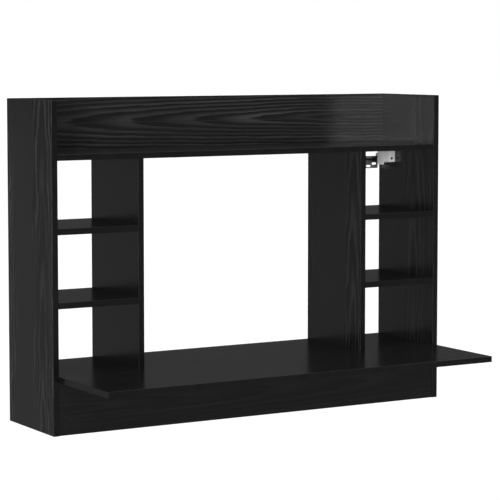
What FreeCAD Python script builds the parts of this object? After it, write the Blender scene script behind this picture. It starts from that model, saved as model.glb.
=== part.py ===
import FreeCAD, Part
import os
from dataclasses import dataclass

# A wall-mounted desk: a board carcass with side bays, a deep tabletop and two adjustable cabinet hangers.
# Millimetres. +X runs to the user's right, +Y into the wall and +Z up. The wall is the plane Y = 0.
# The origin is on the wall, at the middle of the upper back rail's back face.

Vector = FreeCAD.Vector

# Boards
WIDTH = 1200.0                  # across the outer faces of the side panels
BOARD = 16.0                    # thickness of every board
CARCASS_DEPTH = 274.0           # wall to the front edges of panels, dividers and shelves
TABLETOP_DEPTH = 550.0          # wall to the tabletop's front edge
BAY_WIDTH = 230.0               # clear, between a side panel and its divider
BAY_HEIGHT = 173.0              # clear, each bay of a side column
BAY_COUNT = 3                   # bays in a side column
RAIL_HEIGHT = 137.5             # upper back rail
APRON_HEIGHT = 137.5            # front apron
APRON_SETBACK = 3.0             # apron face behind the panels' front edges
EDGE_ROUND = 0.8                # rounding of the banded edges

# Fits shared by every fitting
FIT = 0.05                      # radial clearance of a shank, dowel or cam in its hole
RUNNING_GAP = 0.3               # between pieces that slide past each other, and of a cover over its housing
OVERRUN = 1.0                   # how far a cut reaches past the face that it starts from
TOUCH = 0.01                    # points nearer than this to a plane lie on it

# Cam fittings and dowels
CAM_RADIUS = 7.5
CAM_HEIGHT = 12.0
CAM_RECESS = 0.5                # cam below the face it is turned from
CAM_SETBACK = 34.0              # joint face to the cam's axis
CAM_SLOT_WIDTH = 1.4
CAM_SLOT_DEPTH = 2.0
BOLT_THREAD_RADIUS = 2.5
BOLT_THREAD_LENGTH = 11.0
BOLT_SHANK_RADIUS = 3.0
BOLT_NECK_RADIUS = 2.0
BOLT_HEAD_RADIUS = 3.2
BOLT_HEAD_LENGTH = 3.0
BOLT_BORE_RADIUS = 4.0
DOWEL_RADIUS = 4.0
DOWEL_LENGTH = 30.0
DOWEL_SEAT = 10.0               # dowel's depth in the board whose face it enters
DOWEL_END_ROOM = 1.0            # spare depth past each end of a dowel
CAP_RADIUS = 8.5
CAP_THICKNESS = 0.8
DEPTH_ROW_INSET = 37.0          # first fitting from a deep board's front or back edge
HOLE_PITCH = 32.0               # from there to the dowel
HEIGHT_ROW_INSET = 32.0         # first fitting from the upper or lower edge of rail and apron
EDGE_DOWEL_SHARES = (0.35, 0.77)    # dowels along rail and apron, from the middle to a side panel

# Cabinet hangers, shared sizes
HANGER_TOP_GAP = 4.0            # long shelf's underside to the cover
HANGER_BACK_GAP = 21.0          # wall to the cover's open back
HANGER_WIDTH = 20.0             # cover, out from the side panel
DEPTH_TRAVEL = 10.0             # carriage, towards the wall
HEIGHT_TRAVEL = 6.0             # hook, each way
COVER_WALL = 1.5
COVER_ROUND = 1.0
COVER_SKIRT = 9.0               # the cover's rear side wall reaches this much lower than its front
COVER_SKIRT_LENGTH = 30.6       # length of that wall
SKIRT_COVER = 1.8               # that wall's lower edge below the height screw's head
ACCESS_RADIUS = 4.0             # screwdriver opening in the cover

# Hanger housing and the screws that hold it
HOUSING_SHEET = 1.5
FLANGE_SHEET = 2.0              # housing's front flange, which holds the depth screw
SPIGOT_RADIUS = 5.0
SPIGOT_LENGTH = 11.0
FIXING_SHANK_RADIUS = 2.0
FIXING_LENGTH = 13.0
FIXING_HEAD_RADIUS = 3.5
FIXING_HEAD_HEIGHT = 2.0
FIXING_INSET = 6.5              # screw axis from the housing's upper or lower lip
FIXING_BAY = 11.5               # room for these screws between depth screw collar and carriage

# Adjusting screws
DEPTH_SCREW_RADIUS = 3.0
DEPTH_HEAD_RADIUS = 5.0
DEPTH_HEAD_LENGTH = 3.5
DEPTH_SCREW_PROUD = 2.0         # past the carriage block
DEPTH_AXIS_RISE = 10.5          # above the underside of the cover's front part
HEIGHT_SCREW_RADIUS = 2.5
HEIGHT_HEAD_RADIUS = 4.0
HEIGHT_HEAD_LENGTH = 3.0
COLLAR_PROUD = 1.5              # collar's radius over the screw's
COLLAR_LENGTH = 1.5
DRIVE_WIDTH = 1.2               # arms of the cross recess
DRIVE_DEPTH = 1.8
DRIVE_SPAN_SHARE = 0.7          # cross recess across the head's diameter

# Carriage, hook and wall plate
CARRIAGE_BLOCK = 14.0           # length of the threaded block
CARRIAGE_FLANGE = 3.0           # upper and lower flange, and the spine between them
CARRIAGE_TAIL = 2.0             # flanges past the hook's lug
CARRIAGE_BACK_INSET = 3.0       # carriage inside the cover's back, when drawn in
LUG_ROOM = 6.0                  # threaded block to the hook's lug
LUG_LENGTH = 14.0
LUG_WIDTH = 9.0
LUG_HEIGHT = 12.0
HOOK_ROOM = 3.75                # spare height above and below the hook's travel
ARM_HEIGHT = 8.0
ARM_WIDTH = 5.0
TIP_WALL_GAP = 0.8              # hook's tip to the wall
TIP_END_GAP = 1.0               # hook's tip to the bend of the plate's lip
PLATE_WIDTH = 60.0
PLATE_HEIGHT = 36.0
PLATE_SHEET = 2.0
PLATE_SIDE_GAP = 6.0            # side panel to the plate
PLATE_CORNER = 2.5              # rounding of the plate's corners
LIP_HEIGHT = 7.0                # straight part of the plate's upper lip
LIP_GAP = 5.0                   # wall to the back of the lip
LIP_BEND = 6.0                  # height of the slope between lip and plate
SLOT_LENGTH = 16.0
SLOT_WIDTH = 6.4
UPPER_SLOT_INSET = 12.9         # slot's middle from the plate's outer edge
UPPER_SLOT_DROP = 22.7          # slot's middle below the plate's top
LOWER_SLOT_INSET = 32.4
LOWER_SLOT_DROP = 29.8

# Levels and faces of the carcass
TOP_Z = RAIL_HEIGHT / 2
RAIL_BOTTOM_Z = TOP_Z - RAIL_HEIGHT
SHELF_BOTTOM_Z = RAIL_BOTTOM_Z - BOARD
TABLETOP_TOP_Z = SHELF_BOTTOM_Z - BAY_COUNT * BAY_HEIGHT - (BAY_COUNT - 1) * BOARD
TABLETOP_BOTTOM_Z = TABLETOP_TOP_Z - BOARD
BOTTOM_Z = TABLETOP_BOTTOM_Z - APRON_HEIGHT
INNER_X = WIDTH / 2 - BOARD             # side panel's inner face
DIVIDER_OUTER_X = INNER_X - BAY_WIDTH
DIVIDER_INNER_X = DIVIDER_OUTER_X - BOARD
FRONT_Y = -CARCASS_DEPTH
APRON_FRONT_Y = FRONT_Y + APRON_SETBACK

# Places along the left hanger, from the wall to the front
COVER_BACK_Y = -HANGER_BACK_GAP
CARRIAGE_BACK_Y = COVER_BACK_Y - CARRIAGE_BACK_INSET
LUG_BACK_Y = CARRIAGE_BACK_Y - CARRIAGE_TAIL
HEIGHT_AXIS_Y = LUG_BACK_Y - LUG_LENGTH / 2
LUG_FRONT_Y = LUG_BACK_Y - LUG_LENGTH
BLOCK_BACK_Y = LUG_FRONT_Y - LUG_ROOM
CARRIAGE_FRONT_Y = BLOCK_BACK_Y - CARRIAGE_BLOCK
COLLAR_BACK_Y = CARRIAGE_FRONT_Y - FIXING_BAY
FLANGE_BACK_Y = COLLAR_BACK_Y - COLLAR_LENGTH - RUNNING_GAP
FLANGE_FRONT_Y = FLANGE_BACK_Y - FLANGE_SHEET
HEAD_FRONT_Y = FLANGE_FRONT_Y - RUNNING_GAP - DEPTH_HEAD_LENGTH
COVER_INNER_FRONT_Y = HEAD_FRONT_Y - RUNNING_GAP
COVER_FRONT_Y = COVER_INNER_FRONT_Y - COVER_WALL
COVER_STEP_Y = COVER_BACK_Y - COVER_SKIRT_LENGTH

# Levels of the hanger, from the long shelf downwards
COVER_TOP_Z = SHELF_BOTTOM_Z - HANGER_TOP_GAP
HOUSING_TOP_Z = COVER_TOP_Z - COVER_WALL - RUNNING_GAP
CARRIAGE_TOP_Z = HOUSING_TOP_Z - HOUSING_SHEET - RUNNING_GAP
LUG_TOP_Z = CARRIAGE_TOP_Z - CARRIAGE_FLANGE - HOOK_ROOM - HEIGHT_TRAVEL
LUG_BOTTOM_Z = LUG_TOP_Z - LUG_HEIGHT
ARM_BOTTOM_Z = LUG_TOP_Z - ARM_HEIGHT
COLLAR_TOP_Z = LUG_BOTTOM_Z - HEIGHT_TRAVEL - HOOK_ROOM
LOWER_FLANGE_TOP_Z = COLLAR_TOP_Z - COLLAR_LENGTH - RUNNING_GAP
CARRIAGE_BOTTOM_Z = LOWER_FLANGE_TOP_Z - CARRIAGE_FLANGE
HEIGHT_HEAD_TOP_Z = CARRIAGE_BOTTOM_Z - RUNNING_GAP
COVER_SKIRT_BOTTOM_Z = HEIGHT_HEAD_TOP_Z - HEIGHT_HEAD_LENGTH - SKIRT_COVER
COVER_BOTTOM_Z = COVER_SKIRT_BOTTOM_Z + COVER_SKIRT
HOUSING_BOTTOM_Z = COVER_BOTTOM_Z + COVER_WALL + RUNNING_GAP
BLOCK_BOTTOM_Z = HOUSING_BOTTOM_Z + HOUSING_SHEET + RUNNING_GAP
DEPTH_AXIS_Z = COVER_BOTTOM_Z + DEPTH_AXIS_RISE

# Places across the left hanger, from the side panel towards the middle
PANEL_X = -INNER_X
HANGER_AXIS_X = PANEL_X + HANGER_WIDTH / 2
COVER_INNER_X = PANEL_X + HANGER_WIDTH - COVER_WALL
HOUSING_EDGE_X = COVER_INNER_X - RUNNING_GAP
CARRIAGE_NEAR_X = PANEL_X + HOUSING_SHEET + RUNNING_GAP
CARRIAGE_FAR_X = HOUSING_EDGE_X - RUNNING_GAP
PLATE_EDGE_X = PANEL_X + PLATE_SIDE_GAP

LEFT = Vector(-1, 0, 0)
RIGHT = Vector(1, 0, 0)
BACKWARD = Vector(0, 1, 0)
FORWARD = Vector(0, -1, 0)
UP = Vector(0, 0, 1)
DOWN = Vector(0, 0, -1)


# Helpers

def block(x_range, y_range, z_range):
    """A box between two values on each axis."""
    low, high = (Vector(*corner) for corner in zip(x_range, y_range, z_range))
    size = high - low
    return Part.makeBox(size.x, size.y, size.z, low)


def rod(radius, start, direction, length):
    """A cylinder from a start point along a unit direction."""
    return Part.makeCylinder(radius, length, start, direction)


def fused(first, *others):
    """One solid from pieces that touch or overlap."""
    return first.fuse(list(others)).removeSplitter()


def mirrored(shape):
    """The same shape on the other side of the desk's middle plane."""
    return shape.mirror(Vector(0, 0, 0), RIGHT)


def edges_in_plane(solid, normal, point):
    """Edges of a solid that lie in the plane through a point."""
    return [edge for edge in solid.Edges
            if all(abs(normal.dot(vertex.Point - point)) < TOUCH for vertex in edge.Vertexes)]


def band_rounded(board, normal, point):
    """A board whose edge band, in the plane through a point, has its two long edges rounded."""
    long_edges = sorted(edges_in_plane(board, normal, point), key=lambda edge: edge.Length)[-2:]
    return board.makeFillet(EDGE_ROUND, long_edges)


def front_rounded(board, front_y):
    """A board with a rounded band along its front."""
    return band_rounded(board, FORWARD, Vector(0, front_y, 0))


def all_rounded(board):
    """A board with every edge rounded."""
    return board.makeFillet(EDGE_ROUND, board.Edges)


# Plain boards, left side and middle

def side_panel():
    return all_rounded(block((-WIDTH / 2, PANEL_X), (FRONT_Y, 0), (BOTTOM_Z, TOP_Z)))


def divider():
    x_range = (-DIVIDER_OUTER_X, -DIVIDER_INNER_X)
    return front_rounded(block(x_range, (FRONT_Y, 0), (TABLETOP_TOP_Z, SHELF_BOTTOM_Z)), FRONT_Y)


def small_shelf_bottom(number):
    """Underside of a short shelf, counted from the top."""
    return SHELF_BOTTOM_Z - number * (BAY_HEIGHT + BOARD)


def small_shelf(number):
    bottom = small_shelf_bottom(number)
    board = block((PANEL_X, -DIVIDER_OUTER_X), (FRONT_Y, 0), (bottom, bottom + BOARD))
    return front_rounded(board, FRONT_Y)


def top_shelf():
    board = block((-INNER_X, INNER_X), (FRONT_Y, 0), (SHELF_BOTTOM_Z, RAIL_BOTTOM_Z))
    return front_rounded(board, FRONT_Y)


def upper_back_rail():
    board = block((-INNER_X, INNER_X), (-BOARD, 0), (RAIL_BOTTOM_Z, TOP_Z))
    return band_rounded(board, UP, Vector(0, 0, TOP_Z))


def tabletop():
    return all_rounded(block((-INNER_X, INNER_X), (-TABLETOP_DEPTH, 0), (TABLETOP_BOTTOM_Z, TABLETOP_TOP_Z)))


def front_apron():
    y_range = (APRON_FRONT_Y, APRON_FRONT_Y + BOARD)
    return front_rounded(block((-INNER_X, INNER_X), y_range, (BOTTOM_Z, TABLETOP_BOTTOM_Z)), APRON_FRONT_Y)


# Joinery: a board's end meets another board's face

@dataclass
class Joint:
    """A row of fittings where the end of one board meets the face of another.

    into points into the face, and access from the end's middle plane to the face that cams are turned from.
    """
    end_board: str
    face_board: str
    into: Vector
    access: Vector
    cams: list
    dowels: list
    capped: bool = True


def depth_row(x, z):
    """Places of cams and dowels along the depth of the carcass."""
    cam_places = (-DEPTH_ROW_INSET, FRONT_Y + DEPTH_ROW_INSET)
    dowel_places = (-DEPTH_ROW_INSET - HOLE_PITCH, FRONT_Y + DEPTH_ROW_INSET + HOLE_PITCH)
    return [Vector(x, y, z) for y in cam_places], [Vector(x, y, z) for y in dowel_places]


def dowel_row(x, z):
    """The same places, all of them for dowels."""
    cam_places, dowel_places = depth_row(x, z)
    return [], cam_places + dowel_places


def height_row(y, bottom, top):
    """Places of cams and a dowel up the end of a rail or apron."""
    cam_places = (bottom + HEIGHT_ROW_INSET, top - HEIGHT_ROW_INSET)
    return [Vector(PANEL_X, y, z) for z in cam_places], [Vector(PANEL_X, y, (bottom + top) / 2)]


def edge_row(y, z):
    """Places of dowels along the edge of a rail or apron."""
    return [Vector(-INNER_X * share, y, z) for share in EDGE_DOWEL_SHARES]


def left_joints():
    """Every joint of the desk's left half."""
    shelf_middle = (SHELF_BOTTOM_Z + RAIL_BOTTOM_Z) / 2
    table_middle = (TABLETOP_BOTTOM_Z + TABLETOP_TOP_Z) / 2
    divider_middle = -(DIVIDER_OUTER_X + DIVIDER_INNER_X) / 2
    apron_middle = APRON_FRONT_Y + BOARD / 2
    rail_middle = -BOARD / 2
    panel = "left_side_panel"
    joints = [
        Joint("top_shelf", panel, LEFT, DOWN, *depth_row(PANEL_X, shelf_middle)),
        Joint("tabletop", panel, LEFT, DOWN, *depth_row(PANEL_X, table_middle)),
        Joint("left_divider", "top_shelf", UP, LEFT, *dowel_row(divider_middle, SHELF_BOTTOM_Z)),
        Joint("left_divider", "tabletop", DOWN, LEFT, *dowel_row(divider_middle, TABLETOP_TOP_Z)),
        Joint("front_apron", panel, LEFT, BACKWARD, *height_row(apron_middle, BOTTOM_Z, TABLETOP_BOTTOM_Z)),
        Joint("upper_back_rail", panel, LEFT, BACKWARD, *height_row(rail_middle, RAIL_BOTTOM_Z, TOP_Z),
              capped=False),
        Joint("front_apron", "tabletop", UP, BACKWARD, [], edge_row(apron_middle, TABLETOP_BOTTOM_Z)),
        Joint("upper_back_rail", "top_shelf", DOWN, BACKWARD, [], edge_row(rail_middle, RAIL_BOTTOM_Z)),
    ]
    for number, name in enumerate(("left_upper_shelf", "left_lower_shelf"), start=1):
        middle = small_shelf_bottom(number) + BOARD / 2
        joints.append(Joint(name, panel, LEFT, DOWN, *depth_row(PANEL_X, middle)))
        joints.append(Joint(name, "left_divider", RIGHT, DOWN, *depth_row(-DIVIDER_OUTER_X, middle)))
    return joints


def cam_bolt(seat, into):
    """Bolt screwed into a face, with a necked head that the cam draws in."""
    shank_length = CAM_SETBACK - CAM_RADIUS - RUNNING_GAP
    head_start = CAM_SETBACK - BOLT_HEAD_LENGTH / 2
    thread = rod(BOLT_THREAD_RADIUS, seat, into, BOLT_THREAD_LENGTH)
    shank = rod(BOLT_SHANK_RADIUS, seat, -into, shank_length)
    neck = rod(BOLT_NECK_RADIUS, seat - into * shank_length, -into, head_start - shank_length)
    head = rod(BOLT_HEAD_RADIUS, seat - into * head_start, -into, BOLT_HEAD_LENGTH)
    return fused(thread, shank, neck, head)


def cam_lock(seat, into, access):
    """Round cam with a hollow for the bolt's head and a slot to turn it by."""
    axis_point = seat - into * CAM_SETBACK
    face_point = axis_point + access * (BOARD / 2 - CAM_RECESS)
    body = rod(CAM_RADIUS, face_point, -access, CAM_HEIGHT)
    neck_way = rod(BOLT_NECK_RADIUS + RUNNING_GAP, axis_point, into, CAM_RADIUS + OVERRUN)
    head_room = BOLT_HEAD_LENGTH + 2 * RUNNING_GAP
    head_way = rod(BOLT_HEAD_RADIUS + RUNNING_GAP, axis_point - into * (head_room / 2), into, head_room)
    slot = Part.makeBox(2 * CAM_RADIUS + 2 * OVERRUN, CAM_SLOT_WIDTH, CAM_SLOT_DEPTH + OVERRUN)
    slot.translate(Vector(-CAM_RADIUS - OVERRUN, -CAM_SLOT_WIDTH / 2, -CAM_SLOT_DEPTH))
    slot.Placement = FreeCAD.Placement(face_point, FreeCAD.Rotation(UP, access)).multiply(slot.Placement)
    return body.cut([neck_way, head_way, slot])


def cam_cap(seat, into, access):
    """Thin round cap on the face over a cam."""
    face_point = seat - into * CAM_SETBACK + access * (BOARD / 2)
    return rod(CAP_RADIUS, face_point, access, CAP_THICKNESS)


def dowel(seat, into):
    return rod(DOWEL_RADIUS, seat + into * DOWEL_SEAT, -into, DOWEL_LENGTH)


def joint_bores(joint):
    """Holes that a joint's fittings need, as (board, hole) pairs."""
    into, access = joint.into, joint.access
    bores = []
    for seat in joint.cams:
        mouth = seat - into * OVERRUN
        bores.append((joint.face_board, rod(BOLT_THREAD_RADIUS + FIT, mouth, into,
                                            BOLT_THREAD_LENGTH + FIT + OVERRUN)))
        bores.append((joint.end_board, rod(BOLT_BORE_RADIUS, seat + into * OVERRUN, -into,
                                           CAM_SETBACK + OVERRUN)))
        cam_mouth = seat - into * CAM_SETBACK + access * (BOARD / 2 + OVERRUN)
        cam_depth = CAM_RECESS + CAM_HEIGHT + FIT + OVERRUN
        bores.append((joint.end_board, rod(CAM_RADIUS + FIT, cam_mouth, -access, cam_depth)))
    for seat in joint.dowels:
        face_depth = DOWEL_SEAT + DOWEL_END_ROOM
        end_depth = DOWEL_LENGTH - DOWEL_SEAT + DOWEL_END_ROOM
        radius = DOWEL_RADIUS + FIT
        bores.append((joint.face_board, rod(radius, seat - into * OVERRUN, into, face_depth + OVERRUN)))
        bores.append((joint.end_board, rod(radius, seat + into * OVERRUN, -into, end_depth + OVERRUN)))
    return bores


def joinery(joints):
    """The left half's fittings, as lists of solids by node."""
    bolts, locks, caps, dowels = [], [], [], []
    for joint in joints:
        for seat in joint.cams:
            bolts.append(cam_bolt(seat, joint.into))
            locks.append(cam_lock(seat, joint.into, joint.access))
            if joint.capped:
                caps.append(cam_cap(seat, joint.into, joint.access))
        dowels.extend(dowel(seat, joint.into) for seat in joint.dowels)
    return {"cam_bolts": bolts, "cam_locks": locks, "cam_caps": caps, "dowels": dowels}


# Left cabinet hanger

def spigot_seats():
    """Where the housing's spigots enter the side panel."""
    level = (HOUSING_TOP_Z + HOUSING_BOTTOM_Z) / 2
    return [Vector(PANEL_X, -DEPTH_ROW_INSET - step * HOLE_PITCH, level) for step in (0, 1)]


def fixing_seats():
    """Where the housing's screws enter the side panel."""
    y = COLLAR_BACK_Y + FIXING_BAY / 2
    levels = (HOUSING_TOP_Z - HOUSING_SHEET - FIXING_INSET, HOUSING_BOTTOM_Z + HOUSING_SHEET + FIXING_INSET)
    return [Vector(PANEL_X, y, z) for z in levels]


def hanger_bores():
    """Holes in the side panel for the hanger's spigots and screws."""
    bores = [rod(SPIGOT_RADIUS + FIT, seat + RIGHT * OVERRUN, LEFT, SPIGOT_LENGTH + RUNNING_GAP + OVERRUN)
             for seat in spigot_seats()]
    fixing_depth = FIXING_LENGTH - HOUSING_SHEET + RUNNING_GAP
    bores += [rod(FIXING_SHANK_RADIUS + FIT, seat + RIGHT * OVERRUN, LEFT, fixing_depth + OVERRUN)
              for seat in fixing_seats()]
    return bores


def depth_axis(y):
    """Point on the depth screw's axis."""
    return Vector(HANGER_AXIS_X, y, DEPTH_AXIS_Z)


def height_axis(z):
    """Point on the height screw's axis."""
    return Vector(HANGER_AXIS_X, HEIGHT_AXIS_Y, z)


def hanger_housing():
    """Steel channel on the side panel, with spigots, guide lips and a front flange."""
    base_back = CARRIAGE_BACK_Y
    z_range = (HOUSING_BOTTOM_Z, HOUSING_TOP_Z)
    across = (PANEL_X, HOUSING_EDGE_X)
    base = block((PANEL_X, PANEL_X + HOUSING_SHEET), (FLANGE_FRONT_Y, base_back), z_range)
    flange = block(across, (FLANGE_FRONT_Y, FLANGE_BACK_Y), z_range)
    upper_lip = block(across, (FLANGE_FRONT_Y, base_back), (HOUSING_TOP_Z - HOUSING_SHEET, HOUSING_TOP_Z))
    lower_lip = block(across, (FLANGE_FRONT_Y, COVER_STEP_Y),
                      (HOUSING_BOTTOM_Z, HOUSING_BOTTOM_Z + HOUSING_SHEET))
    spigots = [rod(SPIGOT_RADIUS, seat, LEFT, SPIGOT_LENGTH) for seat in spigot_seats()]
    body = fused(base, flange, upper_lip, lower_lip, *spigots)
    screw_hole = rod(DEPTH_SCREW_RADIUS + FIT, depth_axis(FLANGE_FRONT_Y - OVERRUN), BACKWARD,
                     FLANGE_SHEET + 2 * OVERRUN)
    fixing_holes = [rod(FIXING_SHANK_RADIUS + FIT, seat + LEFT * OVERRUN, RIGHT, HOUSING_SHEET + 2 * OVERRUN)
                    for seat in fixing_seats()]
    return body.cut([screw_hole, *fixing_holes])


def hanger_screws():
    """The screws that hold the housing on the side panel."""
    screws = []
    for seat in fixing_seats():
        head_seat = seat + RIGHT * HOUSING_SHEET
        shank = rod(FIXING_SHANK_RADIUS, head_seat, LEFT, FIXING_LENGTH)
        head = rod(FIXING_HEAD_RADIUS, head_seat, RIGHT, FIXING_HEAD_HEIGHT)
        screws.append(cross_driven(fused(shank, head), head_seat + RIGHT * FIXING_HEAD_HEIGHT, RIGHT,
                                   FIXING_HEAD_RADIUS))
    return Part.makeCompound(screws)


def cross_driven(screw, top, outward, head_radius):
    """A screw with a cross recess cut into the top of its head."""
    span = 2 * head_radius * DRIVE_SPAN_SHARE
    arms = []
    for length, width in ((span, DRIVE_WIDTH), (DRIVE_WIDTH, span)):
        arm = Part.makeBox(length, width, DRIVE_DEPTH + OVERRUN)
        arm.translate(Vector(-length / 2, -width / 2, -DRIVE_DEPTH))
        arm.Placement = FreeCAD.Placement(top, FreeCAD.Rotation(UP, outward)).multiply(arm.Placement)
        arms.append(arm)
    return screw.cut(arms)


def stepped_profile(front_y, back_y, top, front_bottom, rear_bottom, x):
    """Face of the cover's side outline, in the plane across X."""
    outline = [(front_y, top), (front_y, front_bottom), (COVER_STEP_Y, front_bottom),
               (COVER_STEP_Y, rear_bottom), (back_y, rear_bottom), (back_y, top), (front_y, top)]
    return Part.Face(Part.makePolygon([Vector(x, y, z) for y, z in outline]))


def is_rounded(edge):
    """Whether an edge of the cover's block is rounded: all but its open sides and the step's corner."""
    middle = edge.CenterOfMass
    at_opening = middle.x < PANEL_X + TOUCH or middle.y > COVER_BACK_Y - TOUCH
    in_corner = abs(middle.y - COVER_STEP_Y) < TOUCH and abs(middle.z - COVER_BOTTOM_Z) < TOUCH
    return not at_opening and not in_corner


def hanger_cover():
    """Plastic cover, open to the panel, the wall and the height screw, with a hole at the depth screw."""
    outer = stepped_profile(COVER_FRONT_Y, COVER_BACK_Y, COVER_TOP_Z, COVER_BOTTOM_Z, COVER_SKIRT_BOTTOM_Z,
                            PANEL_X).extrude(RIGHT * HANGER_WIDTH)
    outer = outer.makeFillet(COVER_ROUND, [edge for edge in outer.Edges if is_rounded(edge)])
    inner = stepped_profile(COVER_INNER_FRONT_Y, COVER_BACK_Y + OVERRUN, COVER_TOP_Z - COVER_WALL,
                            COVER_BOTTOM_Z + COVER_WALL, COVER_SKIRT_BOTTOM_Z - OVERRUN,
                            PANEL_X - OVERRUN).extrude(RIGHT * (COVER_INNER_X - PANEL_X + OVERRUN))
    depth_hole = rod(ACCESS_RADIUS, depth_axis(COVER_FRONT_Y - OVERRUN), BACKWARD, COVER_WALL + 2 * OVERRUN)
    return outer.cut([inner, depth_hole])


def hanger_carriage():
    """Slide with a threaded block in front and a C-shaped frame for the hook behind."""
    across = (CARRIAGE_NEAR_X, CARRIAGE_FAR_X)
    behind = (BLOCK_BACK_Y, CARRIAGE_BACK_Y)
    front = block(across, (CARRIAGE_FRONT_Y, BLOCK_BACK_Y), (BLOCK_BOTTOM_Z, CARRIAGE_TOP_Z))
    spine = block((CARRIAGE_NEAR_X, CARRIAGE_NEAR_X + CARRIAGE_FLANGE), behind,
                  (CARRIAGE_BOTTOM_Z, CARRIAGE_TOP_Z))
    upper = block(across, behind, (CARRIAGE_TOP_Z - CARRIAGE_FLANGE, CARRIAGE_TOP_Z))
    lower = block(across, behind, (CARRIAGE_BOTTOM_Z, LOWER_FLANGE_TOP_Z))
    depth_bore = rod(DEPTH_SCREW_RADIUS + FIT, depth_axis(CARRIAGE_FRONT_Y - OVERRUN), BACKWARD,
                     CARRIAGE_BLOCK + 2 * OVERRUN)
    height_bore = rod(HEIGHT_SCREW_RADIUS + FIT, height_axis(CARRIAGE_BOTTOM_Z - OVERRUN), UP,
                      CARRIAGE_TOP_Z - CARRIAGE_BOTTOM_Z + 2 * OVERRUN)
    return fused(front, spine, upper, lower).cut([depth_bore, height_bore])


def hanger_hook():
    """Threaded lug with an arm that reaches over the wall plate's lip and turns down behind it."""
    lug = block((HANGER_AXIS_X - LUG_WIDTH / 2, HANGER_AXIS_X + LUG_WIDTH / 2), (LUG_FRONT_Y, LUG_BACK_Y),
                (LUG_BOTTOM_Z, LUG_TOP_Z))
    across = (HANGER_AXIS_X - ARM_WIDTH / 2, HANGER_AXIS_X + ARM_WIDTH / 2)
    arm_top = ARM_BOTTOM_Z + ARM_HEIGHT
    arm = block(across, (LUG_BACK_Y, -TIP_WALL_GAP), (ARM_BOTTOM_Z, arm_top))
    tip = block(across, (-LIP_GAP, -TIP_WALL_GAP), (ARM_BOTTOM_Z - LIP_HEIGHT + TIP_END_GAP, arm_top))
    bore = rod(HEIGHT_SCREW_RADIUS + FIT, height_axis(LUG_BOTTOM_Z - OVERRUN), UP, LUG_HEIGHT + 2 * OVERRUN)
    return fused(lug, arm, tip).cut(bore)


def depth_screw():
    """Screw held in the housing's flange, which draws the carriage along."""
    head = rod(DEPTH_HEAD_RADIUS, depth_axis(HEAD_FRONT_Y), BACKWARD, DEPTH_HEAD_LENGTH)
    shank_length = BLOCK_BACK_Y + DEPTH_SCREW_PROUD - HEAD_FRONT_Y
    shank = rod(DEPTH_SCREW_RADIUS, depth_axis(HEAD_FRONT_Y), BACKWARD, shank_length)
    collar = rod(DEPTH_SCREW_RADIUS + COLLAR_PROUD, depth_axis(COLLAR_BACK_Y - COLLAR_LENGTH), BACKWARD,
                 COLLAR_LENGTH)
    return cross_driven(fused(head, shank, collar), depth_axis(HEAD_FRONT_Y), FORWARD, DEPTH_HEAD_RADIUS)


def height_screw():
    """Screw held in the carriage's lower flange, which lifts and lowers the hook."""
    head_bottom = HEIGHT_HEAD_TOP_Z - HEIGHT_HEAD_LENGTH
    head = rod(HEIGHT_HEAD_RADIUS, height_axis(head_bottom), UP, HEIGHT_HEAD_LENGTH)
    shank = rod(HEIGHT_SCREW_RADIUS, height_axis(head_bottom), UP, CARRIAGE_TOP_Z - RUNNING_GAP - head_bottom)
    collar = rod(HEIGHT_SCREW_RADIUS + COLLAR_PROUD, height_axis(COLLAR_TOP_Z), DOWN, COLLAR_LENGTH)
    return cross_driven(fused(head, shank, collar), height_axis(head_bottom), DOWN, HEIGHT_HEAD_RADIUS)


def plate_slot(inset, drop):
    """A level slot through the wall plate, as a cutting solid."""
    half_straight = (SLOT_LENGTH - SLOT_WIDTH) / 2
    middle_x = PLATE_EDGE_X + inset
    middle_z = ARM_BOTTOM_Z - drop
    radius = SLOT_WIDTH / 2
    front = -PLATE_SHEET - OVERRUN
    depth = PLATE_SHEET + 2 * OVERRUN
    ends = [rod(radius, Vector(middle_x + shift, front, middle_z), BACKWARD, depth)
            for shift in (-half_straight, half_straight)]
    straight = block((middle_x - half_straight, middle_x + half_straight), (front, front + depth),
                     (middle_z - radius, middle_z + radius))
    return fused(straight, *ends)


def wall_plate():
    """Slotted plate on the wall, with a lip set forward along its top."""
    top = ARM_BOTTOM_Z
    bend_top = top - LIP_HEIGHT
    bend_bottom = bend_top - LIP_BEND
    bottom = top - PLATE_HEIGHT
    outline = [(0, bottom), (0, bend_bottom), (-LIP_GAP, bend_top), (-LIP_GAP, top),
               (-LIP_GAP - PLATE_SHEET, top), (-LIP_GAP - PLATE_SHEET, bend_top), (-PLATE_SHEET, bend_bottom),
               (-PLATE_SHEET, bottom), (0, bottom)]
    profile = Part.Face(Part.makePolygon([Vector(PLATE_EDGE_X, y, z) for y, z in outline]))
    plate = profile.extrude(RIGHT * PLATE_WIDTH)
    ends = edges_in_plane(plate, UP, Vector(0, 0, top)) + edges_in_plane(plate, UP, Vector(0, 0, bottom))
    plate = plate.makeFillet(PLATE_CORNER, [edge for edge in ends if edge.Length < PLATE_SHEET + TOUCH])
    slots = [plate_slot(UPPER_SLOT_INSET, UPPER_SLOT_DROP), plate_slot(LOWER_SLOT_INSET, LOWER_SLOT_DROP)]
    return plate.cut(slots)


# The whole desk

def left_pieces():
    """Boards and hanger pieces of the left side, before their joinery holes are cut."""
    return {
        "side_panel": side_panel(),
        "divider": divider(),
        "upper_shelf": small_shelf(1),
        "lower_shelf": small_shelf(2),
        "hanger_housing": hanger_housing(),
        "hanger_cover": hanger_cover(),
        "hanger_screws": hanger_screws(),
        "hanger_carriage": hanger_carriage(),
        "hanger_hook": hanger_hook(),
        "depth_screw": depth_screw(),
        "height_screw": height_screw(),
        "wall_plate": wall_plate(),
    }


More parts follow.
